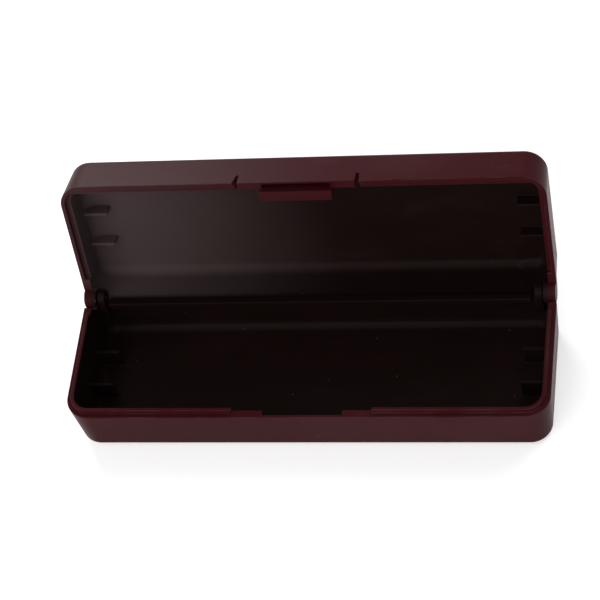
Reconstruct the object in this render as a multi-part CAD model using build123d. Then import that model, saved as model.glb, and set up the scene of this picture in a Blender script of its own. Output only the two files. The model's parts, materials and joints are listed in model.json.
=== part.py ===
from build123d import *
from math import atan2, cos, degrees, radians, sin, sqrt
import os

# Pocket harmonica case: two plastic mouldings, a base tray and a lid, joined at the back by
# two short pins and held shut at the front by a springy tab with a hooked tongue.
# Origin: middle of the underside. +X is the right-hand end, -Y the front, +Z up.
# The lid is modelled shut and then turned open about the pins. Lengths are in millimetres.

# ---- Driving dimensions -------------------------------------------------------------------
CASE_LENGTH = 108.0       # end to end at the parting line
CASE_DEPTH = 34.5         # front to back at the parting line
BASE_HEIGHT = 13.2        # underside to parting line
LID_HEIGHT = 10.8         # parting line to the outside of the lid panel
WALL = 1.9                # side walls of both mouldings
PANEL = 1.6               # base floor and lid panel
CORNER_RADIUS = 5.5       # corners seen from above, at the parting line
BASE_LEAN = 0.8           # how far the base's sides lean in by the underside
LID_LEAN = 0.6            # how far the lid's sides lean in by the panel
OUTER_ROUND = 1.8         # outside edge round the floor and round the lid panel
INNER_ROUND = 2.4         # the same edge, inside, as far as the corners leave room for it

# ---- Rim: a thin lip on the base stands inside a rebate in the lid --------------------------
LIP_THICKNESS = 0.8
LIP_HEIGHT = 1.2
LIP_TO_TAB = 2.55         # the lip stops this far from each end of the latch tab
LIP_TO_HINGE = 5.35       # and this far in front of the pins
REBATE_CLEARANCE = 0.2    # lip to rebate, sideways and in height
PARTING_GAP = 0.15        # between the two rims when shut

# ---- End ribs that keep the instrument off the end walls ------------------------------------
RIB_PITCH = 8.7           # between the two ribs of one end
RIB_THICKNESS = 1.1
RIB_REACH = 7.8           # free end of a rib, from the end of the case
BASE_RIB_HEIGHT = 5.1     # above the floor
LID_RIB_HEIGHT = 2.9      # from the lid panel
RIB_ROUND = 0.4

# ---- Hinge ----------------------------------------------------------------------------------
HINGE_INSET = 2.4         # pin axis to the back face
PIN_RADIUS = 0.7
PIN_RUNNING_FIT = 0.05    # radial, in the base's ears
EAR_THICKNESS = 1.6
EAR_RADIUS = 1.9
EAR_ROOT = 5.5            # how far the ear reaches down the wall
EAR_SIDE_GAP = 0.2        # ear to the lid's cheek, along the pin
TURNING_GAP = 0.3         # round everything that turns about the pins
PIN_PROUD = 0.2           # the pin's inner end past the ear
PIN_IN_CHEEK = 1.1        # the pin's seat in the lid's cheek
PIN_COVER = 0.4           # least wall outside the pin's end, in the rounded corner
OPEN_ANGLE = 105.0        # lid turned back until its back wall meets the base's
STOP_GAP = 0.2            # left between those two walls at the open stop

# ---- Latch ----------------------------------------------------------------------------------
TAB_WIDTH = 26.1
TAB_HEIGHT = 3.0          # from the lid's rim to the bending line
SLIT_AT_RIM = 1.0
SLIT_AT_TOP = 0.6
TAB_TOP_GAP = 0.1         # stands for the bending line
TONGUE_WIDTH = 16.2
TONGUE_THICKNESS = 1.2
TONGUE_REACH = 1.8        # past the lid's rim
TONGUE_WELD = 0.2         # how far the tongue is set into the tab's wall
HOOK_DEPTH = 0.4
HOOK_HEIGHT = 0.6
SLOT_INSET = 0.6          # moulding slot in the tab's rim, in from each end of the tongue
SLOT_SKIN = 0.55          # wall left outside that slot
SLOT_DEPTH = 2.0
RECESS_SIDE_GAP = 0.8     # tongue to each end of the recess in the base's front wall
RECESS_FLOOR_GAP = 0.95   # tongue to the recess's floor
RECESS_SKIN = 0.65        # wall left outside the recess
RIDGE_INSET = 0.9         # bead in the recess, in from each end of the tongue
RIDGE_HEIGHT = 0.5
RIDGE_OVER_HOOK = 0.15    # bead above the hook's tip when shut
RIDGE_CLEARANCE = 0.12    # between the two tips as they pass

# ---- Values that follow -----------------------------------------------------------------------
HALF_LENGTH = CASE_LENGTH / 2
HALF_DEPTH = CASE_DEPTH / 2
LID_RIM = BASE_HEIGHT + PARTING_GAP
HINGE_Y = HALF_DEPTH - HINGE_INSET
HINGE_Z = BASE_HEIGHT
HINGE_AXIS = Axis((0, HINGE_Y, HINGE_Z), (1, 0, 0))
CORNER_Y = HALF_DEPTH - CORNER_RADIUS
END_AT_PIN = HALF_LENGTH - CORNER_RADIUS + sqrt(
    CORNER_RADIUS**2 - (HINGE_Y + PIN_RADIUS - CORNER_Y)**2
)
PIN_OUTER = END_AT_PIN - PIN_COVER
CHEEK_INNER = PIN_OUTER - PIN_IN_CHEEK
EAR_OUTER = CHEEK_INNER - EAR_SIDE_GAP
EAR_INNER = EAR_OUTER - EAR_THICKNESS
PIN_INNER = EAR_INNER - PIN_PROUD
RIB_TIP = HALF_LENGTH - RIB_REACH
LIP_GAP_FRONT = TAB_WIDTH + 2 * LIP_TO_TAB
LIP_END = HINGE_Y - LIP_TO_HINGE
FRONT_INNER = WALL - HALF_DEPTH
TONGUE_FRONT = FRONT_INNER - TONGUE_WELD
HOOK_TIP = TONGUE_FRONT - HOOK_DEPTH
TAB_TOP = LID_RIM + TAB_HEIGHT
TONGUE_BOTTOM = LID_RIM - TONGUE_REACH
HOOK_TOP = TONGUE_BOTTOM + HOOK_HEIGHT


def box_between(low, high):
    """Box from its lowest corner to its highest."""
    size = [b - a for a, b in zip(low, high)]
    return Pos(*low) * Box(*size, align=(Align.MIN, Align.MIN, Align.MIN))


def rod(radius, x_from, x_to):
    """Cylinder about the hinge axis, between two places along X."""
    middle = (x_from + x_to) / 2
    return Pos(middle, HINGE_Y, HINGE_Z) * Rot(0, 90, 0) * Cylinder(radius, x_to - x_from)


def rounded_block(inset, height, lean=0.0):
    """Block with the case's outline, moved in by `inset`; its sides lean in as it rises."""
    outline = RectangleRounded(
        CASE_LENGTH - 2 * inset, CASE_DEPTH - 2 * inset, CORNER_RADIUS - inset
    )
    return extrude(outline, amount=height, taper=degrees(atan2(lean, height)))


def tub(height, lean):
    """Thin-walled moulding, standing on its open rim."""
    outer = rounded_block(0, height, lean)
    outer = fillet(outer.faces().sort_by(Axis.Z)[-1].edges(), OUTER_ROUND)
    hollow_height = height - PANEL
    hollow = rounded_block(WALL, hollow_height, lean * hollow_height / height)
    room = CORNER_RADIUS - WALL - lean
    hollow = fillet(hollow.faces().sort_by(Axis.Z)[-1].edges(), min(INNER_ROUND, room))
    return outer - hollow


def both_ends(shape):
    """The shape and its mirror image at the other end."""
    return shape + mirror(shape, about=Plane.YZ)


def end_ribs(height, foot_z, rising):
    """Two short ribs at each end, standing on the floor or hanging from the lid panel."""
    foot = foot_z - rising * PANEL / 2
    crest = foot_z + rising * height
    ribs = []
    for y in (-RIB_PITCH / 2, RIB_PITCH / 2):
        rib = box_between(
            (RIB_TIP, y - RIB_THICKNESS / 2, min(foot, crest)),
            (HALF_LENGTH - WALL / 2 - BASE_LEAN / 2, y + RIB_THICKNESS / 2, max(foot, crest)),
        )
        tip_edges = rib.edges().filter_by(Axis.Z).group_by(Axis.X)[0]
        ribs.append(fillet(tip_edges, RIB_ROUND))
    return both_ends(ribs[0] + ribs[1])


def stop_height():
    """Height at which the opened lid's back wall crosses the base's back face."""
    turn = radians(OPEN_ANGLE)
    lean = LID_LEAN / LID_HEIGHT
    up_wall = HINGE_INSET * (1 - cos(turn)) / (sin(turn) - lean * cos(turn))
    below = (HINGE_INSET - lean * up_wall) * sin(turn) - up_wall * cos(turn)
    return HINGE_Z - below


# ---- Base tray --------------------------------------------------------------------------------
def base_lip():
    ring = rounded_block(WALL - LIP_THICKNESS, LIP_HEIGHT) - rounded_block(WALL, LIP_HEIGHT)
    ring = Pos(0, 0, BASE_HEIGHT) * ring
    latch_gap = box_between(
        (-LIP_GAP_FRONT / 2, -HALF_DEPTH, BASE_HEIGHT),
        (LIP_GAP_FRONT / 2, 0, BASE_HEIGHT + LIP_HEIGHT),
    )
    hinge_gap = box_between(
        (-HALF_LENGTH, LIP_END, BASE_HEIGHT),
        (HALF_LENGTH, HALF_DEPTH, BASE_HEIGHT + LIP_HEIGHT),
    )
    return ring - latch_gap - hinge_gap


def base_hinge_clearance():
    """Room at the back for everything on the lid that turns about the pins."""
    swing = rod(HINGE_INSET + TURNING_GAP, -HALF_LENGTH, HALF_LENGTH)
    back_wall = box_between(
        (-HALF_LENGTH, HINGE_Y, stop_height() - STOP_GAP),
        (HALF_LENGTH, HALF_DEPTH, BASE_HEIGHT + LIP_HEIGHT),
    )
    return swing + back_wall


def base_ear():
    """Right-hand ear: a round eye on a root that runs down the corner."""
    root = box_between(
        (EAR_INNER, HINGE_Y - EAR_RADIUS, HINGE_Z - EAR_ROOT),
        (EAR_OUTER, HINGE_Y, HINGE_Z),
    )
    tie = box_between(
        (EAR_INNER, HINGE_Y - EAR_RADIUS, HINGE_Z - EAR_ROOT),
        (EAR_OUTER, HALF_DEPTH - BASE_LEAN, stop_height() - STOP_GAP),
    )
    eye = rod(EAR_RADIUS, EAR_INNER, EAR_OUTER)
    ear = (root + tie + eye) & rounded_block(BASE_LEAN, BASE_HEIGHT + EAR_RADIUS)
    return ear - rod(PIN_RADIUS + PIN_RUNNING_FIT, EAR_INNER, EAR_OUTER)


def base_recess():
    """Pocket in the front wall that the lid's tongue drops into."""
    half_width = TONGUE_WIDTH / 2 + RECESS_SIDE_GAP
    return box_between(
        (-half_width, RECESS_SKIN - HALF_DEPTH, TONGUE_BOTTOM - RECESS_FLOOR_GAP),
        (half_width, FRONT_INNER + WALL / 2, BASE_HEIGHT),
    )


def base_ridge():
    """Bead on the recess's thin wall, above the hook when shut."""
    tip = HOOK_TIP - RIDGE_CLEARANCE
    root = RECESS_SKIN / 2 - HALF_DEPTH
    bottom = HOOK_TOP + RIDGE_OVER_HOOK
    corners = [
        (root, bottom + RIDGE_HEIGHT),
        (tip, bottom + RIDGE_HEIGHT / 2),
        (root, bottom),
    ]
    profile = Plane.YZ * make_face(Polyline(*corners, close=True))
    return extrude(profile, amount=TONGUE_WIDTH / 2 - RIDGE_INSET, both=True)


def make_base_tray():
    tray = Pos(0, 0, BASE_HEIGHT) * Rot(180, 0, 0) * tub(BASE_HEIGHT, BASE_LEAN)
    tray = tray + base_lip() + end_ribs(BASE_RIB_HEIGHT, PANEL, 1)
    tray = tray - base_hinge_clearance() + both_ends(base_ear())
    return tray - base_recess() + base_ridge()


# ---- Lid, shut -----------------------------------------------------------------------------------
def lid_rebate():
    """Step inside the rim that takes the base's lip."""
    width = LIP_THICKNESS + REBATE_CLEARANCE
    depth = LIP_HEIGHT + REBATE_CLEARANCE - PARTING_GAP
    ring = rounded_block(WALL - width, depth) - rounded_block(WALL + width, depth)
    in_front_of_hinge = box_between(
        (-HALF_LENGTH, -HALF_DEPTH, 0),
        (HALF_LENGTH, LIP_END + REBATE_CLEARANCE, depth),
    )
    return Pos(0, 0, LID_RIM) * (ring & in_front_of_hinge)


def lid_skirt():
    """Quarter-round lower edge of the back wall and the half-round cheeks that hold the pins."""
    knuckle = rod(HINGE_INSET, -HALF_LENGTH, HALF_LENGTH)
    hollow = rod(HINGE_INSET - WALL, -CHEEK_INNER, CHEEK_INNER)
    in_front = box_between(
        (-CHEEK_INNER, HINGE_Y - HINGE_INSET, HINGE_Z - HINGE_INSET),
        (CHEEK_INNER, HINGE_Y, HINGE_Z + HINGE_INSET),
    )
    below_rim = Pos(0, 0, LID_RIM - HALF_DEPTH) * rounded_block(0, HALF_DEPTH)
    return (knuckle - hollow - in_front) & below_rim


def lid_ear_pocket():
    """Room for the right-hand ear of the base."""
    return rod(HINGE_INSET + TURNING_GAP, PIN_INNER - EAR_SIDE_GAP, CHEEK_INNER)


def latch_window():
    """Opening in the front wall for the tab and the slit at each side of it."""
    half_top = TAB_WIDTH / 2 + SLIT_AT_TOP
    half_rim = TAB_WIDTH / 2 + SLIT_AT_RIM
    corners = [(-half_rim, LID_RIM), (half_rim, LID_RIM), (half_top, TAB_TOP), (-half_top, TAB_TOP)]
    outline = Plane.XZ * make_face(Polyline(*corners, close=True))
    return extrude(Pos(0, -HALF_DEPTH, 0) * outline, amount=WALL + INNER_ROUND, both=True)


def lid_moulding():
    """The whole lid, before the latch tab is set free from it."""
    lid = Pos(0, 0, LID_RIM) * tub(LID_HEIGHT - PARTING_GAP, LID_LEAN)
    lid = lid + end_ribs(LID_RIB_HEIGHT, BASE_HEIGHT + LID_HEIGHT - PANEL, -1)
    return lid - lid_rebate()


def make_lid_shell():
    lid = lid_moulding() - latch_window()
    lid = lid + lid_skirt() - both_ends(lid_ear_pocket())
    return lid - both_ends(rod(PIN_RADIUS, CHEEK_INNER, PIN_OUTER))


def catch_tongue():
    """Hooked tongue behind the tab, reaching past the lid's rim."""
    back = TONGUE_FRONT + TONGUE_THICKNESS
    corners = [
        (TONGUE_FRONT, TAB_TOP - TAB_TOP_GAP),
        (TONGUE_FRONT, HOOK_TOP + HOOK_DEPTH / 2),
        (HOOK_TIP, HOOK_TOP),
        (HOOK_TIP, HOOK_TOP - HOOK_HEIGHT / 2),
        (TONGUE_FRONT, TONGUE_BOTTOM),
        (back, TONGUE_BOTTOM),
        (back, TAB_TOP - TAB_TOP_GAP - TONGUE_THICKNESS),
        (back - TONGUE_THICKNESS / 2, TAB_TOP - TAB_TOP_GAP),
    ]
    profile = Plane.YZ * make_face(Polyline(*corners, close=True))
    return extrude(profile, amount=TONGUE_WIDTH / 2, both=True)


def make_catch_tab():
    """Springy stretch of the lid's front wall between the slits, with its tongue."""
    wall = lid_moulding() & box_between(
        (-TAB_WIDTH / 2, -HALF_DEPTH, LID_RIM),
        (TAB_WIDTH / 2, FRONT_INNER + INNER_ROUND, TAB_TOP - TAB_TOP_GAP),
    )
    half_slot = TONGUE_WIDTH / 2 - SLOT_INSET
    slot = box_between(
        (-half_slot, SLOT_SKIN - HALF_DEPTH, LID_RIM),
        (half_slot, TONGUE_FRONT, LID_RIM + SLOT_DEPTH),
    )
    return wall - slot + catch_tongue()


def make_hinge_pin():
    """Right-hand pin: turns in the base's ear, fast in the lid's cheek."""
    return rod(PIN_RADIUS, PIN_INNER, PIN_OUTER)


def opened(shape):
    """A piece of the shut lid, turned back to the open stop."""
    return shape.rotate(HINGE_AXIS, -OPEN_ANGLE)


def main():
    pin = opened(make_hinge_pin())
    nodes = {
        "base_tray": make_base_tray(),
        "lid_shell": opened(make_lid_shell()),
        "catch_tab": opened(make_catch_tab()),
        "hinge_pin_right": pin,
        "hinge_pin_left": mirror(pin, about=Plane.YZ),
    }
    os.makedirs("parts", exist_ok=True)
    for name, shape in nodes.items():
        export_step(shape, f"parts/{name}.step")


main()
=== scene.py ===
import json
from math import atan, cos, degrees, pi, radians, sin, sqrt

import bmesh
import bpy
from mathutils import Euler, Matrix, Vector


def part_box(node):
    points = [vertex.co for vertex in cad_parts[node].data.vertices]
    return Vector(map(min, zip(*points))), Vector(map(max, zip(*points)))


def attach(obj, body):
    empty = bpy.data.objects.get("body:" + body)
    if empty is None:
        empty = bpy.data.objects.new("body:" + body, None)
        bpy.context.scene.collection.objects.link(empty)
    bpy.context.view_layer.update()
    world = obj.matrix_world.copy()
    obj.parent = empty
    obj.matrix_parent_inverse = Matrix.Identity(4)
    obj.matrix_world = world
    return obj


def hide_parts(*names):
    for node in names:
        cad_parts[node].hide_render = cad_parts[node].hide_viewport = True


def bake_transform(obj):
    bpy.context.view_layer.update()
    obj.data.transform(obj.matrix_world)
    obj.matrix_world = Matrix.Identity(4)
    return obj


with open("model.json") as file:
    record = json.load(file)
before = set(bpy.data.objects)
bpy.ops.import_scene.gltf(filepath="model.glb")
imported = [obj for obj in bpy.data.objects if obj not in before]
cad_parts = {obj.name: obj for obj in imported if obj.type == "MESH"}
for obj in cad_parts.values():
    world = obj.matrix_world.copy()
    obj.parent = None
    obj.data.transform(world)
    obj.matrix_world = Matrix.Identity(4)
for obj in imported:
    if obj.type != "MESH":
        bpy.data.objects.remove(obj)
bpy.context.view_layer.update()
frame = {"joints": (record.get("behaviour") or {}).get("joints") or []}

# Pocket harmonica case, standing open: a base tray and a lid moulded in dark maroon plastic.
# Every shape is built in millimetres with the lid shut, and is brought to metres, and the lid
# to its open rest, when its mesh is finished.

MM = 0.001

# ---- Sizes from the frame ------------------------------------------------------------------------
tray_low, tray_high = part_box("base_tray")
lid_hinge = next(joint for joint in frame["joints"] if joint["name"] == "lid_hinge")
CASE_LENGTH = round((tray_high.x - tray_low.x) / MM, 3)
CASE_DEPTH = round(-2 * tray_low.y / MM, 3)
HINGE_Y, HINGE_Z = (round(place / MM, 3) for place in lid_hinge["pos_m"][1:])
OPEN_ANGLE = -lid_hinge["range_deg"][0]

# ---- Mouldings -----------------------------------------------------------------------------------
BASE_HEIGHT = HINGE_Z
LID_HEIGHT = 10.8
WALL = 1.9
PANEL = 1.6
CORNER_RADIUS = 5.5
BASE_LEAN = 0.8
LID_LEAN = 0.6
OUTER_ROUND = 1.8
INNER_ROUND = 2.4
LIP_THICKNESS = 0.8
LIP_HEIGHT = 1.2
LIP_TO_TAB = 2.55
LIP_TO_HINGE = 5.35
REBATE_CLEARANCE = 0.2
FRONT_STEP = 0.95           # the lid's front wall is thicker above its rebate by this
PARTING_GAP = 0.15
EDGE_ROUND = 0.17           # the small radius that every moulded edge has
TAB_EDGE_ROUND = 0.14

# ---- End ribs ------------------------------------------------------------------------------------
RIB_PITCH = 8.7
RIB_THICKNESS = 1.1
RIB_REACH = 7.8
BASE_RIB_HEIGHT = 5.1
LID_RIB_HEIGHT = 2.9
RIB_ROUND = 0.4
RIB_CREST = 0.72            # share of the thickness left at the crest, for draft
RIB_FOOT = 0.5              # how deep a rib is rooted in the floor
RIB_TIP_STEPS = 5

# ---- Hinge ---------------------------------------------------------------------------------------
HINGE_INSET = CASE_DEPTH / 2 - HINGE_Y
PIN_RADIUS = 0.7
PIN_RUNNING_FIT = 0.05
EAR_THICKNESS = 1.6
EAR_RADIUS = 1.9
EAR_ROOT = 5.5
EAR_SIDE_GAP = 0.2
TURNING_GAP = 0.3
PIN_PROUD = 0.2
PIN_IN_CHEEK = 1.1
PIN_COVER = 0.4
STOP_GAP = 0.2              # opened lid to the tie behind each ear
BACK_WALL_GAP = 0.12        # opened lid to the base's back wall
CHEEK_STEP = 0.22           # the cheeks stand back from the end walls by this
CHEEK_WEB_LEAD = 1.0        # the web starts this far in front of the corner's round
CHEEK_WEB_RISE = 3.0
CHEEK_WEB_END = 80          # degrees up the cheek at which the web meets it

# ---- Latch ---------------------------------------------------------------------------------------
TAB_WIDTH = 26.1
TAB_HEIGHT = 3.0
TAB_BEND = 1.2              # stretch below the tab's root that bends
TAB_BEND_STEPS = 4
SLIT_AT_RIM = 1.0
SLIT_AT_TOP = 0.6
TONGUE_WIDTH = 16.2
TONGUE_THICKNESS = 1.85
TONGUE_REACH = 2.1
TONGUE_WELD = 0.2
HOOK_DEPTH = 0.4
HOOK_HEIGHT = 0.6
SLOT_INSET = 0.6
SLOT_SKIN = 0.55
SLOT_DEPTH = 2.0
RECESS_SIDE_GAP = 0.8
RECESS_FLOOR_GAP = 0.95
RECESS_SKIN = 0.65
RIDGE_INSET = 0.9
RIDGE_HEIGHT = 0.5
RIDGE_OVER_HOOK = 0.15
RIDGE_CLEARANCE = 0.12

# ---- Plastic: scales are per metre, depths in microns --------------------------------------------
MAROON_GRAINED = (0.041, 0.0055, 0.0078)
# colour of the hollow's polished faces, painted far darker than the grained faces as painted shade
MAROON_POLISHED_PAINTED_SHADE = (0.0095, 0.0046, 0.0042)
MAROON_PALE = (0.105, 0.058, 0.062)
PIN_MAROON = (0.03, 0.0052, 0.0068)
PLASTIC_IOR = 1.22
MICRON = 0.000001
FLOW_STRETCH = (0.22, 1, 1)
FLOW_SCALE = 110
FLOW_SHADE = 0.2
FLOW_ROUGHNESS = 0.08
CLOUD_SCALE = 34
CLOUD_CONTRAST = 0.55
CLOUD_ROUGHNESS = 0.16
GRAIN_SCALE = 3600
GRAIN_DEPTH = 7
GRAIN_SHADE = 0.16
GRAIN_LOST = 0.85           # share of grain and of edge wear with its painted highlight that polished faces lack
PEEL_SCALE = 260
PEEL_DEPTH = 12
DARKEST_SHADE = 0.82        # where flow and grain add nothing
BLOOM_RANGE = (0.48, 0.72)
BLOOM_PALE = 0.07
RUB_STRETCH = (0.35, 1, 1)
RUB_TURN = radians(24)
RUB_SCALE = 150
RUB_RANGE = (0.56, 0.72)
RUB_PALE = 0.08
RUB_ROUGHNESS = 0.1
HAZE_LOST = 0.7             # share of bloom, rubbing and hairlines that polished faces lack
# Painted sheen: a pale grey reflection painted into the colour over the lid's left end
PAINTED_SHEEN = 0.92
PAINTED_SHEEN_ON_GRAIN = 0.3
PAINTED_SHEEN_COLOUR = (0.075, 0.052, 0.053)
PAINTED_SHEEN_ACROSS = (-0.054, 0.010)       # full at the first place along X, gone at the second, in metres
PAINTED_SHEEN_BACK = (0.0145, 0.0165)        # starts and is full at these places along Y
PAINTED_SHEEN_LEAST = 0.8
PAINTED_SHEEN_CLOUDS = 0.4
# paler colour along the rounded edges: partly real wear, partly a painted highlight
WEAR_AND_HIGHLIGHT_SCALE = 190
WEAR_AND_HIGHLIGHT_RANGE = (0.35, 0.6)
WEAR_AND_HIGHLIGHT_PALE = 0.3
HAIRLINE_STRETCH = (0.3, 1, 0.45)
HAIRLINE_TURN = radians(-31)
HAIRLINE_SCALE = 70
HAIRLINE_WIDTH = 0.004
HAIRLINE_BREAKS = 150
HAIRLINE_RANGE = (0.6, 0.65)
HAIRLINE_PALE = 0.25
HAIRLINE_DEPTH = 4
DUST_SCALE = 900
DUST_RANGE = (0.965, 0.975)         # only cells with a number above these have a speck
DUST_SIZE = 0.12
DUST_PALE = 0.3
DUST_ROUGHNESS = 0.3
DUST_COLOUR = (0.42, 0.4, 0.38)

# ---- Values that follow --------------------------------------------------------------------------
HALF_LENGTH = CASE_LENGTH / 2
HALF_DEPTH = CASE_DEPTH / 2
LID_RIM = BASE_HEIGHT + PARTING_GAP
LID_TOP = BASE_HEIGHT + LID_HEIGHT
CORNER_X = HALF_LENGTH - CORNER_RADIUS
CORNER_Y = HALF_DEPTH - CORNER_RADIUS
END_AT_PIN = CORNER_X + sqrt(CORNER_RADIUS**2 - (HINGE_Y + PIN_RADIUS - CORNER_Y) ** 2)
PIN_OUTER = END_AT_PIN - PIN_COVER
CHEEK_INNER = PIN_OUTER - PIN_IN_CHEEK
CHEEK_OUTER = HALF_LENGTH - CHEEK_STEP
EAR_OUTER = CHEEK_INNER - EAR_SIDE_GAP
EAR_INNER = EAR_OUTER - EAR_THICKNESS
PIN_INNER = EAR_INNER - PIN_PROUD
FRONT_INNER = WALL - HALF_DEPTH
TONGUE_FRONT = FRONT_INNER - TONGUE_WELD
HOOK_TIP = TONGUE_FRONT - HOOK_DEPTH
TAB_TOP = LID_RIM + TAB_HEIGHT
TONGUE_BOTTOM = LID_RIM - TONGUE_REACH
HOOK_TOP = TONGUE_BOTTOM + HOOK_HEIGHT
REBATE_DEPTH = LIP_HEIGHT + REBATE_CLEARANCE - PARTING_GAP
CORNER_STEPS = 14
ROUND_STEPS = 9
SKIRT_STEPS = 3             # round the inside of the lid's skirt
EDGE_STEPS = 3
CHEEK_EDGE_STEPS = 4
HINGE_SIDES = 64
PIN_SIDES = 32
SMOOTH_BELOW = radians(28)  # edges that turn more than this get the small radius
FLAT_BELOW = radians(0.2)   # faces that meet flatter than this become one
SAME_PLANE = EDGE_ROUND / 9
LOOKS_BACK = 0.5            # least part along Y of a normal that looks back
LEAST_SHARE = 40            # points nearer than a 40th of the radius of an edge are one
SLIVER_SHARE = 100          # and a face thinner than a 100th of it goes

scene = bpy.context.scene


# ---- Objects and modifiers -----------------------------------------------------------------------
def solid(name, build):
    """Object from a function that fills a bmesh; its faces are turned outwards."""
    shape = bmesh.new()
    build(shape)
    bmesh.ops.recalc_face_normals(shape, faces=shape.faces)
    mesh = bpy.data.meshes.new(name)
    shape.to_mesh(mesh)
    shape.free()
    piece = bpy.data.objects.new(name, mesh)
    scene.collection.objects.link(piece)
    return piece


def freeze(piece):
    """Turn the piece's modifiers into plain mesh."""
    graph = bpy.context.evaluated_depsgraph_get()
    mesh = bpy.data.meshes.new_from_object(piece.evaluated_get(graph), depsgraph=graph)
    piece.modifiers.clear()
    piece.data = mesh
    return piece


def combine(piece, operation, *tools):
    """Add the tools to the piece, or take them away, and drop them."""
    for tool in tools:
        step = piece.modifiers.new(operation, "BOOLEAN")
        step.operation = operation
        step.solver = "MANIFOLD"
        step.object = tool
    freeze(piece)
    for tool in tools:
        bpy.data.objects.remove(tool)
    return piece


def add(piece, *tools):
    return combine(piece, "UNION", *tools)


def cut(piece, *tools):
    return combine(piece, "DIFFERENCE", *tools)


def common(piece, *tools):
    return combine(piece, "INTERSECT", *tools)


def edit(piece, change, *details):
    """Run a function on the piece's mesh as a bmesh."""
    shape = bmesh.new()
    shape.from_mesh(piece.data)
    change(shape, *details)
    shape.to_mesh(piece.data)
    shape.free()


def weigh_edges(shape, width, left_sharp):
    """Make flat faces whole, and give the edges to be rounded a weight of 1."""
    bmesh.ops.remove_doubles(shape, verts=shape.verts, dist=width / LEAST_SHARE)
    bmesh.ops.dissolve_limit(shape, angle_limit=FLAT_BELOW, verts=shape.verts, edges=shape.edges)
    weight = shape.edges.layers.float.new("bevel_weight_edge")
    for face in shape.faces:
        face.smooth = True
    for edge in shape.edges:
        if edge.calc_face_angle(0) > SMOOTH_BELOW:
            middle = (edge.verts[0].co + edge.verts[1].co) / 2
            edge.smooth = not left_sharp(edge, middle)
            edge[weight] = float(edge.smooth)


def clear_slivers(shape, width):
    """Take away the doubled points and faces that rounding leaves where edges meet."""
    bmesh.ops.remove_doubles(shape, verts=shape.verts, dist=width / LEAST_SHARE)
    bmesh.ops.dissolve_degenerate(shape, edges=shape.edges, dist=width / SLIVER_SHARE)
    specks = [face for face in shape.faces if face.calc_area() < width * width]
    bmesh.ops.triangulate(shape, faces=specks)
    same = {}
    for face in shape.faces:
        same.setdefault(frozenset(face.verts), []).append(face)
    flaps = [face for faces in same.values() if len(faces) > 1 for face in faces]
    bmesh.ops.delete(shape, geom=flaps, context="FACES")


def round_edges(piece, width, left_sharp=lambda edge, middle: False):
    """Give every edge that turns sharply the small radius of a moulding, or leave it sharp."""
    edit(piece, weigh_edges, width, left_sharp)
    bevel = piece.modifiers.new("moulded edge", "BEVEL")
    bevel.limit_method = "WEIGHT"
    bevel.width = width
    bevel.segments = EDGE_STEPS
    bevel.use_clamp_overlap = False
    bevel.material = len(piece.data.materials)
    freeze(piece)
    edit(piece, clear_slivers, width)
    normals = piece.modifiers.new("flat faces stay flat", "WEIGHTED_NORMAL")
    normals.mode = "FACE_AREA_WITH_ANGLE"
    normals.keep_sharp = True
    return freeze(piece)


# ---- Simple solids -------------------------------------------------------------------------------
def box(low, high):
    size = Vector(high) - Vector(low)
    middle = (Vector(high) + Vector(low)) / 2
    place = Matrix.Translation(middle) @ Matrix.Diagonal((*size, 1))
    return solid("box", lambda shape: bmesh.ops.create_cube(shape, size=1, matrix=place))


def prism(corners, along, start, end):
    """Solid of one cross-section: `along` 0 runs it in X from (y, z) corners, 1 in Y from (x, z)."""
    def at(corner, place):
        return (place, *corner) if along == 0 else (corner[0], place, corner[1])

    def build(shape):
        rows = [[shape.verts.new(at(corner, place)) for corner in corners] for place in (start, end)]
        for row in rows:
            shape.faces.new(row)
        for k in range(len(corners)):
            shape.faces.new((rows[0][k - 1], rows[0][k], rows[1][k], rows[1][k - 1]))

    return solid("prism", build)


def turned(profile, sides=HINGE_SIDES):
    """Solid turned about the hinge axis from (x, radius) points."""
    turns = [2 * pi * k / sides for k in range(sides)]

    def ring(shape, x, radius):
        rim = [(x, HINGE_Y + radius * cos(turn), HINGE_Z + radius * sin(turn)) for turn in turns]
        return [shape.verts.new(place) for place in rim]

    def build(shape):
        rings = [ring(shape, *point) for point in profile]
        shape.faces.new(rings[0])
        shape.faces.new(rings[-1])
        for before, after in zip(rings, rings[1:]):
            for k in range(sides):
                shape.faces.new((before[k - 1], before[k], after[k], after[k - 1]))

    return solid("turned", build)


def rod(radius, x_from, x_to, sides=HINGE_SIDES):
    """Cylinder about the hinge axis, between two places along X."""
    return turned([(x_from, radius), (x_to, radius)], sides)


def at_both_ends(make):
    """The solid that `make(side)` gives for the right end and for the left end."""
    return [make(side) for side in (1, -1)]


def between(side, inner, outer):
    """Places along X from inner to outer at the right end, or mirrored at the left."""
    return sorted((side * inner, side * outer))


# ---- The case's outline --------------------------------------------------------------------------
# A station is (centre, outward direction): a point inset by t lies at the centre plus
# (CORNER_RADIUS - t) in that direction, on straight sides as on corners.
def corner_stations(side_y):
    """Stations round the right-hand corner at the front (-1) or at the back (1), going back."""
    centre = Vector((CORNER_X, side_y * CORNER_Y))
    first = min(side_y, 0) * pi / 2
    turns = [first + pi / 2 * k / CORNER_STEPS for k in range(CORNER_STEPS + 1)]
    return [(centre, Vector((cos(turn), sin(turn)))) for turn in turns]


def end_wall_station(y):
    return (Vector((CORNER_X, y)), Vector((1, 0)))


def front_station(x):
    return (Vector((x, -CORNER_Y)), Vector((0, -1)))


def all_round(right_half):
    """Rows of the whole outline from those of its right half; a row is (station, rim)."""
    flip = Vector((-1, 1))
    left_half = [((centre * flip, outward * flip), rim) for (centre, outward), rim in right_half]
    return right_half + left_half[::-1]


def place_at(station, inset, z):
    centre, outward = station
    x, y = centre + (CORNER_RADIUS - inset) * outward
    return (x, y, z)


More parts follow.
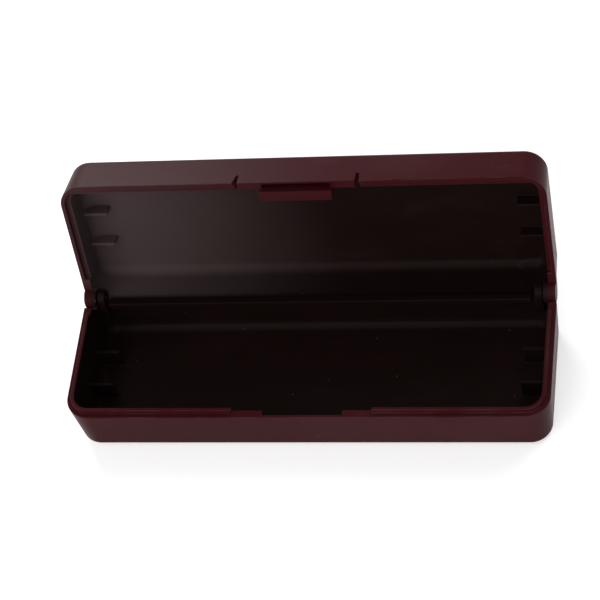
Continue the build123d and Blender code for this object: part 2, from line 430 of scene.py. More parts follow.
def arc(middle, radius, start, end, steps=ROUND_STEPS):
    """Points of an arc between two angles in degrees."""
    turns = [radians(start + (end - start) * k / steps) for k in range(steps + 1)]
    return [(middle[0] + radius * cos(turn), middle[1] + radius * sin(turn)) for turn in turns]


def round_into_panel(wall_inset, slope, panel_level, radius):
    """Arc from a panel to a wall that leans by `slope`, as (inset, level) points."""
    level = panel_level - radius
    inset = wall_inset + slope * level + radius / cos(atan(slope))
    return arc((inset, level), radius, 90, 180 - degrees(atan(slope)))


def step_between(before, after):
    """Corners of the face between two lines of points that differ only in the middle."""
    first = next(k for k in range(len(after)) if before[k] is not after[k]) - 1
    last = next(k for k in range(len(after)) if before[-1 - k] is not after[-1 - k])
    return before[first:len(before) - last + 1] + after[first + 1:len(after) - last][::-1]


def tub(height, slope, to_z, rims, rows):
    """Moulding with a panel and leaning walls, whose rim steps where two rows share a station.

    Sections are (inset, level) points with level 0 at the rim; `to_z` turns a level into z.
    """
    outside = round_into_panel(0, slope, height, OUTER_ROUND)
    inside = round_into_panel(WALL, slope, height - PANEL, INNER_ROUND)[::-1]

    def build(shape):
        made = {}

        def vertex(station, inset, level):
            place = place_at(station, inset, to_z(level))
            key = tuple(round(part, 4) for part in place)
            if key not in made:
                made[key] = shape.verts.new(place)
            return made[key]

        sections = {rim: outside + points + inside for rim, points in rims.items()}
        lines = [[vertex(station, *point) for point in sections[rim]] for station, rim in rows]
        for k, line in enumerate(lines):
            before = lines[k - 1]
            if rows[k - 1][1] != rows[k][1]:
                shape.faces.new(step_between(before, line))
            else:
                for j in range(len(line) - 1):
                    shape.faces.new((before[j], line[j], line[j + 1], before[j + 1]))
        for end in (0, -1):
            shape.faces.new(dict.fromkeys(line[end] for line in lines))

    return solid("tub", build)


def outline_block(inset, z_from, z_to):
    """Upright block with the case's outline moved in by `inset`."""
    stations = all_round([(station, "") for side in (-1, 1) for station in corner_stations(side)])

    def build(shape):
        rows = [
            [shape.verts.new(place_at(station, inset, z)) for station, _ in stations]
            for z in (z_from, z_to)
        ]
        for row in rows:
            shape.faces.new(row)
        for k in range(len(rows[0])):
            shape.faces.new((rows[0][k - 1], rows[0][k], rows[1][k], rows[1][k - 1]))

    return solid("block", build)


# ---- Node trees ----------------------------------------------------------------------------------
class Field:
    """An output of a node; arithmetic on it adds Math nodes."""

    def __init__(self, nodes, socket):
        self.nodes = nodes
        self.socket = socket

    def __getitem__(self, name):
        """Another output of the same node."""
        return Field(self.nodes, self.socket.node.outputs[name])

    def math(self, operation, *values):
        return self.nodes.add("ShaderNodeMath", {"operation": operation}, *values)

    def __add__(self, other):
        return self.math("ADD", self, other)

    def __radd__(self, other):
        return self.math("ADD", other, self)

    def __sub__(self, other):
        return self.math("SUBTRACT", self, other)

    def __rsub__(self, other):
        return self.math("SUBTRACT", other, self)

    def __mul__(self, other):
        return self.math("MULTIPLY", self, other)

    def __rmul__(self, other):
        return self.math("MULTIPLY", other, self)


class Nodes:
    """A node tree that nodes are added to."""

    def __init__(self, tree):
        self.tree = tree

    def add(self, kind, settings=None, *values, **named):
        """Add a node and give its first output in use.

        The settings come first, then the sockets, in order or by name with _ for a space.
        """
        node = self.tree.nodes.new(kind)
        for name, value in (settings or {}).items():
            setattr(node, name, value)
        sockets = [socket for socket in node.inputs if socket.enabled]
        pairs = list(zip(sockets, values))
        for name, value in named.items():
            wanted = name.replace("_", " ")
            pairs.append((next(socket for socket in sockets if socket.name == wanted), value))
        for socket, value in pairs:
            self.give(socket, value)
        outputs = [socket for socket in node.outputs if socket.enabled]
        return Field(self, outputs[0]) if outputs else None

    def give(self, socket, value):
        """Set a socket to a value, or link it to one field or to several."""
        if isinstance(value, (Field, list)):
            for field in value if isinstance(value, list) else [value]:
                self.tree.links.new(field.socket, socket)
        else:
            socket.default_value = value


# ---- Ribs: one Geometry Nodes tree for both mouldings --------------------------------------------
def rib_tree():
    """Geometry Nodes tree: a pair of drafted ribs at each end, standing up from z = 0."""
    tree = bpy.data.node_groups.new("end ribs", "GeometryNodeTree")
    tree.interface.new_socket("Geometry", in_out="OUTPUT", socket_type="NodeSocketGeometry")
    for name in ("Length", "Thickness", "Height", "Crest", "Tip Round", "Pitch", "Middle"):
        tree.interface.new_socket(name, in_out="INPUT", socket_type="NodeSocketFloat")
    tree.interface.new_socket("Material", in_out="INPUT", socket_type="NodeSocketMaterial")
    nodes = Nodes(tree)
    given = nodes.add("NodeGroupInput")

    outline = nodes.add(
        "GeometryNodeCurvePrimitiveQuadrilateral", Width=given["Length"], Height=given["Thickness"]
    )
    tipped = nodes.add(
        "GeometryNodeFilletCurve", {"mode": "POLY"},
        Curve=outline, Radius=given["Tip Round"], Count=RIB_TIP_STEPS,
    )
    foot = nodes.add("GeometryNodeFillCurve", {"mode": "NGONS"}, Curve=tipped)
    grown = nodes.add(
        "GeometryNodeExtrudeMesh", {"mode": "FACES"},
        Mesh=foot, Offset_Scale=given["Height"], Individual=False,
    )
    narrow = nodes.add("ShaderNodeCombineXYZ", X=1.0, Y=given["Crest"], Z=1.0)
    position = nodes.add("GeometryNodeInputPosition")
    drafted = nodes.add("ShaderNodeVectorMath", {"operation": "MULTIPLY"}, position, narrow)
    crest = nodes.add(
        "GeometryNodeSetPosition", Geometry=grown, Selection=grown["Top"], Position=drafted
    )
    underside = nodes.add("GeometryNodeFlipFaces", Mesh=foot)
    rib = nodes.add("GeometryNodeJoinGeometry", Geometry=[crest, underside])
    closed = nodes.add("GeometryNodeMergeByDistance", Geometry=rib, Distance=EDGE_ROUND / LEAST_SHARE)

    line = {"mode": "OFFSET", "count_mode": "TOTAL"}
    start = nodes.add("ShaderNodeCombineXYZ", X=given["Middle"], Y=given["Pitch"] * -0.5, Z=0.0)
    step = nodes.add("ShaderNodeCombineXYZ", X=0.0, Y=given["Pitch"], Z=0.0)
    pair = nodes.add("GeometryNodeMeshLine", line, Count=2, Start_Location=start, Offset=step)
    right = nodes.add("GeometryNodeInstanceOnPoints", Points=pair, Instance=closed)
    middle = nodes.add("GeometryNodeMeshLine", line, Count=2, Offset=(0, 0, 0))
    end = nodes.add("GeometryNodeInputIndex")
    half_turn = nodes.add("ShaderNodeCombineXYZ", X=0.0, Y=0.0, Z=end * pi)
    both = nodes.add("GeometryNodeInstanceOnPoints", Points=middle, Instance=right, Rotation=half_turn)
    real = nodes.add("GeometryNodeRealizeInstances", Geometry=both)
    painted = nodes.add("GeometryNodeSetMaterial", Geometry=real, Material=given["Material"])
    nodes.add("NodeGroupOutput", None, painted)
    return tree


def end_ribs(tree, height, place, material):
    """The four ribs of one moulding as a plain mesh."""
    length = RIB_REACH - WALL / 2
    ribs = bpy.data.objects.new("ribs", bpy.data.meshes.new("ribs"))
    scene.collection.objects.link(ribs)
    grow = ribs.modifiers.new("ribs", "NODES")
    grow.node_group = tree
    values = {
        "Length": length,
        "Thickness": RIB_THICKNESS,
        "Height": height + RIB_FOOT,
        "Crest": RIB_CREST,
        "Tip Round": RIB_ROUND,
        "Pitch": RIB_PITCH,
        "Middle": HALF_LENGTH - RIB_REACH + length / 2,
        "Material": material,
    }
    for item in tree.interface.items_tree:
        if item.in_out == "INPUT":
            grow[item.identifier] = values[item.name]
    freeze(ribs)
    ribs.data.transform(place)
    return ribs


# ---- Hinge ---------------------------------------------------------------------------------------
def stop_height():
    """Height at which the opened lid's back wall crosses the base's back face."""
    turn = radians(OPEN_ANGLE)
    slope = LID_LEAN / LID_HEIGHT
    up_wall = HINGE_INSET * (1 - cos(turn)) / (sin(turn) - slope * cos(turn))
    return HINGE_Z - (HINGE_INSET - slope * up_wall) * sin(turn) + up_wall * cos(turn)


def base_ear(side):
    """Round eye for the pin, on a root that runs down the back corner."""
    x_from, x_to = between(side, EAR_INNER, EAR_OUTER)
    foot = HINGE_Z - EAR_ROOT
    ear = rod(EAR_RADIUS, x_from, x_to)
    root = box((x_from, HINGE_Y - EAR_RADIUS, foot), (x_to, HINGE_Y, HINGE_Z))
    tie = box((x_from, HINGE_Y - EAR_RADIUS, foot), (x_to, HALF_DEPTH - BASE_LEAN, back_wall_top()))
    add(ear, root, tie)
    return common(ear, outline_block(BASE_LEAN, 0, BASE_HEIGHT + 2 * EAR_RADIUS))


def back_wall_top():
    return stop_height() - STOP_GAP


def above_back_wall():
    """What is taken off the back wall, so that its top follows the opened lid's back wall."""
    slope = LID_LEAN / LID_HEIGHT
    turn = radians(OPEN_ANGLE)
    fall = (-cos(turn) - slope * sin(turn)) / (sin(turn) - slope * cos(turn))
    edge = stop_height() - BACK_WALL_GAP
    corners = [(y, edge + fall * (HALF_DEPTH - y)) for y in (HINGE_Y, CASE_DEPTH)]
    corners += [(CASE_DEPTH, CASE_DEPTH), (HINGE_Y, CASE_DEPTH)]
    return prism(corners, 0, -CASE_LENGTH, CASE_LENGTH)


def pin_hole(side):
    ends = between(side, EAR_INNER - WALL, EAR_OUTER + WALL)
    return rod(PIN_RADIUS + PIN_RUNNING_FIT, *ends, PIN_SIDES)


def lid_cheek(side):
    """Round end of the lid that holds a pin, with a web that runs the end wall straight into it."""
    middle = (CHEEK_OUTER - EDGE_ROUND, HINGE_INSET - EDGE_ROUND)
    profile = [(CHEEK_INNER, HINGE_INSET), *arc(middle, EDGE_ROUND, 90, 0, CHEEK_EDGE_STEPS)]
    boss = turned([(side * x, radius) for x, radius in profile])
    start = CORNER_Y - CHEEK_WEB_LEAD
    end = radians(CHEEK_WEB_END)
    web_side = [
        (start, LID_RIM),
        (start, LID_RIM + CHEEK_WEB_RISE),
        (HINGE_Y + HINGE_INSET * cos(end), HINGE_Z + HINGE_INSET * sin(end)),
        (HINGE_Y, LID_RIM),
    ]
    web = prism(web_side, 0, *between(side, HALF_LENGTH - WALL, CHEEK_OUTER))
    return add(boss, web)


def lid_ear_pocket(side):
    return rod(HINGE_INSET + TURNING_GAP, *between(side, CORNER_X - TURNING_GAP, CHEEK_INNER))


def beside_pin(middle):
    """Whether a place is at either back corner, where the two mouldings turn in each other."""
    return middle.y > HINGE_Y - HINGE_INSET and abs(middle.x) > CORNER_X - TURNING_GAP - EDGE_ROUND


def on_plane(middle, *places):
    """Whether a point lies in one of these planes across X, at either end."""
    return any(abs(abs(middle.x) - place) < SAME_PLANE for place in places)


# ---- Base tray -----------------------------------------------------------------------------------
def make_base_tray(ribs):
    lip_outer = WALL - LIP_THICKNESS
    lip = [(lip_outer, -LIP_HEIGHT), (WALL, -LIP_HEIGHT)]
    rims = {
        "plain": [(0, 0), (lip_outer, 0), (WALL, 0)],
        "lip": [(0, 0), (lip_outer, 0), *lip, (WALL, 0)],
    }
    beside_tab = front_station(TAB_WIDTH / 2 + LIP_TO_TAB)
    before_hinge = end_wall_station(HINGE_Y - LIP_TO_HINGE)
    rows = [(beside_tab, "plain"), (beside_tab, "lip")]
    rows += [(station, "lip") for station in corner_stations(-1)]
    rows += [(before_hinge, "lip"), (before_hinge, "plain")]
    rows += [(station, "plain") for station in corner_stations(1)]
    slope = BASE_LEAN / BASE_HEIGHT
    tray = tub(BASE_HEIGHT, slope, lambda level: BASE_HEIGHT - level, rims, all_round(rows))

    add(tray, ribs)
    swing = rod(HINGE_INSET + TURNING_GAP, -CASE_LENGTH, CASE_LENGTH)
    cut(tray, swing, above_back_wall())
    add(tray, *at_both_ends(base_ear))
    cut(tray, *at_both_ends(pin_hole))
    half_width = TONGUE_WIDTH / 2 + RECESS_SIDE_GAP
    floor = TONGUE_BOTTOM - RECESS_FLOOR_GAP
    front = RECESS_SKIN - HALF_DEPTH
    cut(tray, box((-half_width, front, floor), (half_width, FRONT_INNER + WALL, CASE_DEPTH)))
    bottom = HOOK_TOP + RIDGE_OVER_HOOK
    root = RECESS_SKIN / 2 - HALF_DEPTH
    tip = HOOK_TIP - RIDGE_CLEARANCE
    bead = [(root, bottom), (tip, bottom + RIDGE_HEIGHT / 2), (root, bottom + RIDGE_HEIGHT)]
    half_ridge = TONGUE_WIDTH / 2 - RIDGE_INSET
    return add(tray, prism(bead, 0, -half_ridge, half_ridge))


def tray_left_sharp(edge, middle):
    return beside_pin(middle) and not (edge.is_convex and on_plane(middle, EAR_INNER, EAR_OUTER))


# ---- Lid -----------------------------------------------------------------------------------------
def latch_window():
    """Opening for the tab and the slit at each side of it."""
    half_top = TAB_WIDTH / 2 + SLIT_AT_TOP
    half_rim = TAB_WIDTH / 2 + SLIT_AT_RIM
    below = LID_RIM - TAB_HEIGHT
    splay = half_rim + (half_rim - half_top)
    corners = [(-splay, below), (splay, below), (half_top, TAB_TOP), (-half_top, TAB_TOP)]
    return prism(corners, 1, -CASE_DEPTH, FRONT_INNER + WALL)


def front_thickening():
    """Extra thickness inside the lid's front wall, from the rebate up to the panel."""
    slab = box(
        (-HALF_LENGTH, -HALF_DEPTH, LID_RIM + REBATE_DEPTH),
        (HALF_LENGTH, FRONT_INNER + FRONT_STEP, LID_TOP - PANEL / 2),
    )
    return common(slab, outline_block(WALL - LIP_THICKNESS + REBATE_CLEARANCE / 2, 0, LID_TOP))


def make_lid_shell(ribs):
    slope = LID_LEAN / (LID_HEIGHT - PARTING_GAP)
    step = WALL - LIP_THICKNESS - REBATE_CLEARANCE
    deep = (WALL + slope * REBATE_DEPTH, REBATE_DEPTH)
    pin = (HINGE_INSET, -PARTING_GAP)
    skirt = [*arc(pin, HINGE_INSET, 180, 270), *arc(pin, HINGE_INSET - WALL, 270, 180, SKIRT_STEPS)]
    rims = {
        "plain": [(0, 0), (step, 0), (WALL, 0), deep],
        "rebate": [(0, 0), (step, 0), (step, REBATE_DEPTH), deep],
        "skirt": [(0, 0), *skirt, (WALL, 0), deep],
    }
    before_hinge = end_wall_station(HINGE_Y - LIP_TO_HINGE + REBATE_CLEARANCE)
    rows = [(station, "rebate") for station in corner_stations(-1)]
    rows += [(before_hinge, "rebate"), (before_hinge, "plain")]
    rows += [(station, "plain") for station in corner_stations(1)]
    rows += [(rows[-1][0], "skirt")]
    lid = tub(LID_HEIGHT - PARTING_GAP, slope, lambda level: LID_RIM + level, rims, all_round(rows))
    add(lid, ribs, front_thickening())
    cut(lid, latch_window())
    add(lid, *at_both_ends(lid_cheek))
    return cut(lid, *at_both_ends(lid_ear_pocket))


def lid_left_sharp(edge, middle):
    at_tab = abs(middle.z - TAB_TOP) < SAME_PLANE
    at_pin = beside_pin(middle) and middle.z < LID_RIM + TAB_HEIGHT
    return at_tab or at_pin and not on_plane(middle, CHEEK_INNER)


def make_catch_tab():
    """Springy stretch of the lid's front wall, with its moulding slot and hooked tongue."""
    slope = LID_LEAN / (LID_HEIGHT - PARTING_GAP)
    bends = [TAB_TOP - TAB_BEND * k / TAB_BEND_STEPS for k in range(TAB_BEND_STEPS + 1)]
    section = [(-HALF_DEPTH, LID_RIM)]
    section += [(slope * (z - LID_RIM) - HALF_DEPTH, z) for z in reversed(bends)]
    section += [(slope * (z - LID_RIM) + FRONT_INNER, z) for z in bends]
    section += [(FRONT_INNER, LID_RIM)]
    tab = prism(section, 0, -TAB_WIDTH / 2, TAB_WIDTH / 2)
    half_slot = TONGUE_WIDTH / 2 - SLOT_INSET
    slot = box(
        (-half_slot, SLOT_SKIN - HALF_DEPTH, LID_RIM - SLOT_DEPTH),
        (half_slot, TONGUE_FRONT, LID_RIM + SLOT_DEPTH),
    )
    cut(tab, slot)
    back = TONGUE_FRONT + TONGUE_THICKNESS
    top = bends[1]
    tongue = [
        (TONGUE_FRONT, top),
        (TONGUE_FRONT, HOOK_TOP + HOOK_DEPTH / 2),
        (HOOK_TIP, HOOK_TOP),
        (HOOK_TIP, HOOK_TOP - HOOK_HEIGHT / 2),
        (TONGUE_FRONT, TONGUE_BOTTOM),
        (back, TONGUE_BOTTOM),
        (back, top - TONGUE_THICKNESS),
        (back - TONGUE_THICKNESS / 2, top),
    ]
    return add(tab, prism(tongue, 0, -TONGUE_WIDTH / 2, TONGUE_WIDTH / 2))


def tab_left_sharp(edge, middle):
    return middle.z > TAB_TOP - SAME_PLANE


# ---- Materials -----------------------------------------------------------------------------------
# Two attributes come with each mesh: the edge one is 1 along the rounded edges, and the polish one is 1
# on the faces that a polished core shapes, while the outer faces have the grain of the cavity; those
# polished faces are also painted much darker, as painted shade.
def noise(nodes, place, scale, detail=2.0, roughness=0.5):
    return nodes.add("ShaderNodeTexNoise", Vector=place, Scale=scale, Detail=detail, Roughness=roughness)


def ramp(nodes, value, low, high):
    """0 below `low`, 1 above `high` and smooth between."""
    settings = {"interpolation_type": "SMOOTHSTEP"}
    return nodes.add("ShaderNodeMapRange", settings, Value=value, From_Min=low, From_Max=high)


def stretched(nodes, place, scale, turn=0.0):
    return nodes.add("ShaderNodeMapping", Vector=place, Scale=scale, Rotation=(0, 0, turn))


def tinted(nodes, factor, colour, other):
    settings = {"data_type": "RGBA"}
    return nodes.add("ShaderNodeMix", settings, Factor=factor, A=colour, B=other)


def mark(nodes, name):
    return nodes.add("ShaderNodeAttribute", {"attribute_name": name})["Fac"]


def rubbed_patches(nodes, place):
    slanted = stretched(nodes, place, RUB_STRETCH, RUB_TURN)
    return ramp(nodes, noise(nodes, slanted, RUB_SCALE, detail=5.0, roughness=0.7), *RUB_RANGE)


def hairlines(nodes, place):
    """1 along thin scratches that keep breaking off."""
    web = nodes.add(
        "ShaderNodeTexVoronoi", {"feature": "DISTANCE_TO_EDGE"},
        Vector=stretched(nodes, place, HAIRLINE_STRETCH, HAIRLINE_TURN), Scale=HAIRLINE_SCALE,
    )
    kept = ramp(nodes, noise(nodes, place, HAIRLINE_BREAKS), *HAIRLINE_RANGE)
    return (1 - ramp(nodes, web, 0.0, HAIRLINE_WIDTH)) * kept


def dust_specks(nodes, place):
    cells = nodes.add("ShaderNodeTexVoronoi", None, Vector=place, Scale=DUST_SCALE)
    number = nodes.add("ShaderNodeSeparateColor", None, cells["Color"])
    speck = 1 - ramp(nodes, cells["Distance"], DUST_SIZE / 2, DUST_SIZE)
    return speck * ramp(nodes, number, *DUST_RANGE)


def painted_sheen(nodes, place, cloud, polish):
    """Painted sheen: a pale reflection painted over the left end of the lid, full on its polished faces.
    """
    along = nodes.add("ShaderNodeSeparateXYZ", None, place)
    spread = (1 - ramp(nodes, along["X"], *PAINTED_SHEEN_ACROSS)) * ramp(nodes, along["Y"], *PAINTED_SHEEN_BACK)
    patchy = spread * (PAINTED_SHEEN_LEAST + cloud * PAINTED_SHEEN_CLOUDS)
    return patchy * (PAINTED_SHEEN_ON_GRAIN + polish * (1 - PAINTED_SHEEN_ON_GRAIN)) * PAINTED_SHEEN


def moulded_plastic(name, grained, polished_painted_shade, roughness, core_roughness, specular, with_painted_sheen=False):
    """Plastic with flow streaks, a faint bloom, grain, rubbed edges that are partly a painted highlight,
    hairlines and dust; the hollow's faces are painted darker as painted shade, and a painted sheen can
    lie over the lid's left end.
    """
    material = bpy.data.materials.new(name)
    material.use_nodes = True
    nodes = Nodes(material.node_tree)
    shader = material.node_tree.nodes["Principled BSDF"]
    place = nodes.add("ShaderNodeTexCoord")["Object"]
    polish = mark(nodes, "polish")

    flow = noise(nodes, stretched(nodes, place, FLOW_STRETCH), FLOW_SCALE, detail=3.0)
    cloud = noise(nodes, place, CLOUD_SCALE, detail=4.0, roughness=CLOUD_CONTRAST)
    grain = noise(nodes, place, GRAIN_SCALE, detail=1.0)
    peel = noise(nodes, place, PEEL_SCALE, detail=1.0)
    rub = rubbed_patches(nodes, place)
    bloom = ramp(nodes, cloud, *BLOOM_RANGE)
    # edge wear that is also a painted highlight along the rounded edges
    worn_and_highlit = mark(nodes, "edge") * ramp(nodes, noise(nodes, place, WEAR_AND_HIGHLIGHT_SCALE, detail=3.0), *WEAR_AND_HIGHLIGHT_RANGE)
    hairline = hairlines(nodes, place)
    dust = dust_specks(nodes, place)

    # the hollow's faces get the far darker colour: painted shade
    tone = tinted(nodes, polish, (*grained, 1), (*polished_painted_shade, 1))
    shade = DARKEST_SHADE + flow * FLOW_SHADE + grain * GRAIN_SHADE
    tone = nodes.add("ShaderNodeVectorMath", {"operation": "SCALE"}, Vector=tone, Scale=shade)
    haze = (bloom * BLOOM_PALE + rub * RUB_PALE + hairline * HAIRLINE_PALE) * (1 - polish * HAZE_LOST)
    paler = haze + worn_and_highlit * (1 - polish * GRAIN_LOST) * WEAR_AND_HIGHLIGHT_PALE
    tone = tinted(nodes, paler, tone, (*MAROON_PALE, 1))
    # painted sheen: a pale reflection painted over the lid's left end
    if with_painted_sheen:
        tone = tinted(nodes, painted_sheen(nodes, place, cloud, polish), tone, (*PAINTED_SHEEN_COLOUR, 1))
    tone = tinted(nodes, dust * DUST_PALE, tone, (*DUST_COLOUR, 1))
    nodes.give(shader.inputs["Base Color"], tone)

    gloss = roughness + polish * (core_roughness - roughness) + (cloud - 0.5) * CLOUD_ROUGHNESS
    gloss += rub * RUB_ROUGHNESS + dust * DUST_ROUGHNESS + (flow - 0.5) * FLOW_ROUGHNESS
    nodes.give(shader.inputs["Roughness"], gloss)
    shader.inputs["IOR"].default_value = PLASTIC_IOR
    shader.inputs["Specular IOR Level"].default_value = specular

    height = grain * (1 - polish * GRAIN_LOST) * GRAIN_DEPTH + peel * PEEL_DEPTH
    height -= hairline * HAIRLINE_DEPTH
    bump = nodes.add("ShaderNodeBump", None, Strength=1.0, Distance=MICRON, Height=height)
    nodes.give(shader.inputs["Normal"], bump)
    return material


# ---- Putting it together -------------------------------------------------------------------------
def mark_edges(piece):
    """Attribute that is 1 on the points within a rounded edge; the edge's faces lose their own slot."""
    mesh = piece.data
    rounded = [polygon.material_index > 0 for polygon in mesh.polygons]
    within = [1.0] * len(mesh.vertices)
    for polygon, on_edge in zip(mesh.polygons, rounded):
        polygon.material_index = 0
        for vertex in polygon.vertices:
            within[vertex] *= on_edge
    mesh.attributes.new("edge", "FLOAT", "POINT").data.foreach_set("value", within)


def inset_of(point):
    """How far a point lies in from the case's outline."""
    past = Vector((max(abs(point.x) - CORNER_X, 0), max(abs(point.y) - CORNER_Y, 0)))
    if past.x and past.y:
        return CORNER_RADIUS - past.length
    return min(HALF_LENGTH - abs(point.x), HALF_DEPTH - abs(point.y))


def under_skirt(point):
    """Whether a point lies on the lid's round skirt between the cheeks."""
    low = point.z < HINGE_Z - HINGE_INSET / 2
    return low and point.y > HINGE_Y - HINGE_INSET and abs(point.x) < CORNER_X


def at_ear(face, past=0.0):
    """Whether a face that doesn't look back lies at the ears, or up to `past` further out."""
    middle = face.center
    reach = Vector((middle.y - HINGE_Y, middle.z - HINGE_Z)).length
    level = CORNER_X - TURNING_GAP - SAME_PLANE < abs(middle.x) < CHEEK_INNER + EDGE_ROUND + past
    return level and reach < HINGE_INSET + TURNING_GAP + EDGE_ROUND and face.normal.y < LOOKS_BACK


def mark_polish_and_shade(piece, low, high, also=lambda point: False):
    """Attribute that is 1 on the faces of the hollow: a wall's thickness in, between two heights.

    It also covers the ears and the pockets round them, and fades out across the cheeks; on all these
    faces the colour is painted darker, as painted shade.
    """
    mesh = piece.data
    hollow = [
        inset_of(vertex.co) > WALL - EDGE_ROUND and low < vertex.co.z < high or also(vertex.co)
        for vertex in mesh.vertices
    ]
    cheek_foot = CHEEK_INNER + EDGE_ROUND + SAME_PLANE
    marks = []
    for polygon in mesh.polygons:
        whole = all(hollow[vertex] for vertex in polygon.vertices) or at_ear(polygon)
        fading = at_ear(polygon, WALL)
        for vertex in polygon.vertices:
            marks.append(float(whole or fading and abs(mesh.vertices[vertex].co.x) < cheek_foot))
    mesh.attributes.new("polish", "FLOAT", "CORNER").data.foreach_set("value", marks)


def finished(piece, name, body, slot, material, opened, *nodes):
    """Bring a piece to metres and to its rest, and hang it on its body."""
    hinge = Matrix.Translation((0, HINGE_Y, HINGE_Z))
    turn = hinge @ Matrix.Rotation(-radians(OPEN_ANGLE), 4, "X") @ hinge.inverted()
    place = Matrix.Scale(MM, 4) @ (turn if opened else Matrix.Identity(4))
    mark_edges(piece)
    piece.data.transform(place)
    piece.name = name
    piece.data.name = name
    piece.data.materials.clear()
    piece.data.materials.append(material)
    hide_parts(*nodes)
    if body:
        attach(piece, body)
    return piece


CASE_GLOSS = {"roughness": 0.32, "core_roughness": 0.33, "specular": 0.085}
PIN_GLOSS = {"roughness": 0.24, "core_roughness": 0.24, "specular": 0.12}
maroon = moulded_plastic("maroon plastic", MAROON_GRAINED, MAROON_POLISHED_PAINTED_SHADE, **CASE_GLOSS)
# the lid's plastic carries the painted sheen over its left end
lid_maroon_with_painted_sheen = moulded_plastic(
    "maroon plastic with a film", MAROON_GRAINED, MAROON_POLISHED_PAINTED_SHADE, **CASE_GLOSS, with_painted_sheen=True
)
smooth_maroon = moulded_plastic("smooth pin plastic", PIN_MAROON, MAROON_POLISHED_PAINTED_SHADE, **PIN_GLOSS)
tree = rib_tree()
flip = Matrix.Translation((0, 0, LID_TOP - PANEL + RIB_FOOT)) @ Matrix.Rotation(pi, 4, "X")
base_ribs = end_ribs(tree, BASE_RIB_HEIGHT, Matrix.Translation((0, 0, PANEL - RIB_FOOT)), maroon)
lid_ribs = end_ribs(tree, LID_RIB_HEIGHT, flip, lid_maroon_with_painted_sheen)

tray = round_edges(make_base_tray(base_ribs), EDGE_ROUND, tray_left_sharp)
mark_polish_and_shade(tray, PANEL / 2, LID_TOP)
finished(tray, "tray", "base", "case_plastic", maroon, False, "base_tray")

lid = round_edges(make_lid_shell(lid_ribs), EDGE_ROUND, lid_left_sharp)
# the skirt's underside gets the dark colour too, as painted shade
mark_polish_and_shade(lid, 0, LID_TOP - PANEL / 2, under_skirt)
finished(lid, "lid", "lid", "case_plastic", lid_maroon_with_painted_sheen, True, "lid_shell")

tab = round_edges(make_catch_tab(), TAB_EDGE_ROUND, tab_left_sharp)
mark_polish_and_shade(tab, LID_RIM + REBATE_DEPTH, LID_TOP)
finished(tab, "latch_tab", None, "case_plastic", lid_maroon_with_painted_sheen, True, "catch_tab")
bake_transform(tab)

for side, end in ((1, "right"), (-1, "left")):
    pin = round_edges(rod(PIN_RADIUS, *between(side, PIN_INNER, PIN_OUTER), PIN_SIDES), EDGE_ROUND)
    finished(pin, f"pin_{end}", "lid", "pin_plastic", smooth_maroon, True, f"hinge_pin_{end}")

# ---- Floor, lights, camera: in metres unless a comment says otherwise ----------------------------
FLOOR_REACH = 6.0
FLOOR_COLOUR = (0.88, 0.88, 0.88)
FLOOR_PALE = (0.92, 0.92, 0.92)
FLOOR_TOOTH_SCALE = 900
FLOOR_ROUGHNESS = 0.7
FLOOR_TOOTH_ROUGHNESS = 0.1
FLOOR_LIFT = 0.42           # glow that brings the floor to white where it is seen
WORLD_LIGHT = 0.25          # strength of the world as a light; where it is seen, it is 1
LAMP_AIM = (0, 0, 0.02)
SOFTBOXES = {               # place, size, power in watts
    "key softbox": ((-0.35, -0.65, 0.85), (1.4, 1.4), 7),
    "back right softbox": ((0.5, 0.6, 0.77), (0.6, 0.6), 3.5),
    "back left softbox": ((-0.43, 0.9, 0.45), (0.35, 0.3), 5.8),
    "low front softbox": ((-0.3, -1.0, 0.45), (1.6, 0.8), 4.4),
}
CAMERA_AZIMUTH = 21.584     # degrees, from the front towards the right-hand end
CAMERA_ELEVATION = 54.240
CAMERA_ROLL = -18.566
CAMERA_DISTANCE = 526.6     # millimetres, as the aim, the lens and its sensor
CAMERA_AIM = (-1.32, 7.52, 22.03)
CAMERA_LENS = 143.86
SENSOR_WIDTH = 36


def white_background(nodes):
    """1 where the background itself is seen, straight or in a gloss, and 0 where it only gives light."""
    path = nodes.add("ShaderNodeLightPath")
    seen = path["Is Camera Ray"] + path["Is Glossy Ray"] + path["Is Transmission Ray"]
    return nodes.add("ShaderNodeClamp", None, seen)


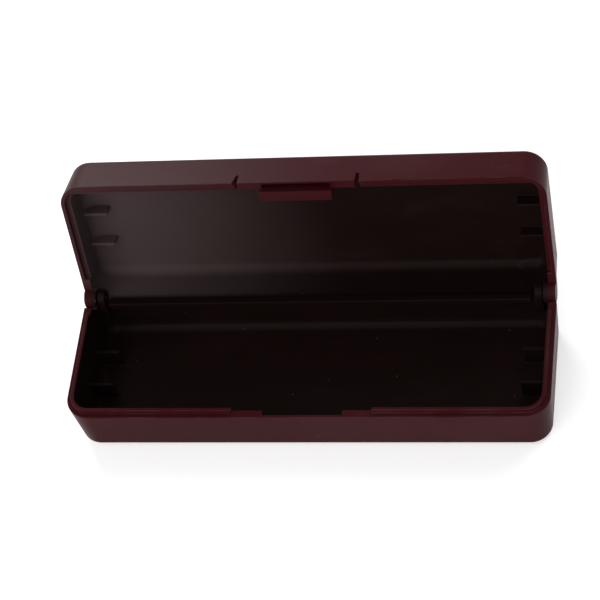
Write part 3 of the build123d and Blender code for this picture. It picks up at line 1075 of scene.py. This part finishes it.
def pale_floor():
    """Matt pale floor that is all but white where it is seen, and keeps the case's shadow."""
    material = bpy.data.materials.new("pale floor")
    material.use_nodes = True
    nodes = Nodes(material.node_tree)
    shader = material.node_tree.nodes["Principled BSDF"]
    place = nodes.add("ShaderNodeTexCoord")["Object"]
    tooth = noise(nodes, place, FLOOR_TOOTH_SCALE, detail=3.0)
    nodes.give(shader.inputs["Base Color"], tinted(nodes, tooth, (*FLOOR_COLOUR, 1), (*FLOOR_PALE, 1)))
    nodes.give(shader.inputs["Roughness"], FLOOR_ROUGHNESS + tooth * FLOOR_TOOTH_ROUGHNESS)
    shader.inputs["Specular IOR Level"].default_value = 0
    plain = Field(nodes, shader.outputs[0])
    glow = nodes.add("ShaderNodeEmission", None, Color=(1, 1, 1, 1), Strength=FLOOR_LIFT)
    lifted = nodes.add("ShaderNodeAddShader", None, plain, glow)
    seen = nodes.add("ShaderNodeMixShader", None, white_background(nodes), plain, lifted)
    nodes.give(material.node_tree.nodes["Material Output"].inputs["Surface"], seen)
    return material


def lay_floor():
    corners = [(-1, -1), (1, -1), (1, 1), (-1, 1)]
    mesh = bpy.data.meshes.new("floor")
    mesh.from_pydata([(x * FLOOR_REACH, y * FLOOR_REACH, 0) for x, y in corners], [], [(0, 1, 2, 3)])
    floor = bpy.data.objects.new("floor", mesh)
    scene.collection.objects.link(floor)
    mesh.materials.append(pale_floor())


def light_world():
    world = bpy.data.worlds.new("studio")
    scene.world = world
    world.use_nodes = True
    sky = world.node_tree.nodes["Background"]
    sky.inputs["Color"].default_value = (1, 1, 1, 1)
    nodes = Nodes(world.node_tree)
    nodes.give(sky.inputs["Strength"], WORLD_LIGHT + white_background(nodes) * (1 - WORLD_LIGHT))


def hang_softbox(name, place, size, power):
    """Rectangular lamp that faces the case."""
    lamp = bpy.data.lights.new(name, "AREA")
    lamp.shape = "RECTANGLE"
    lamp.size, lamp.size_y = size
    lamp.energy = power
    light = bpy.data.objects.new(name, lamp)
    scene.collection.objects.link(light)
    light.location = place
    light.rotation_euler = (Vector(LAMP_AIM) - light.location).to_track_quat("-Z", "Y").to_euler()
    light.visible_camera = False


def place_camera():
    azimuth, elevation = radians(CAMERA_AZIMUTH), radians(CAMERA_ELEVATION)
    back = Vector((sin(azimuth) * cos(elevation), -cos(azimuth) * cos(elevation), sin(elevation)))
    lens = bpy.data.cameras.new("camera")
    lens.lens = CAMERA_LENS
    lens.sensor_width = SENSOR_WIDTH
    camera = bpy.data.objects.new("camera", lens)
    scene.collection.objects.link(camera)
    place = Matrix.Translation((Vector(CAMERA_AIM) + back * CAMERA_DISTANCE) * MM)
    upright = Euler((pi / 2 - elevation, 0, azimuth)).to_matrix().to_4x4()
    camera.matrix_world = place @ upright @ Matrix.Rotation(radians(CAMERA_ROLL), 4, "Z")
    scene.camera = camera


lay_floor()
light_world()
for name, settings in SOFTBOXES.items():
    hang_softbox(name, *settings)
place_camera()

scene.view_settings.view_transform = "Standard"
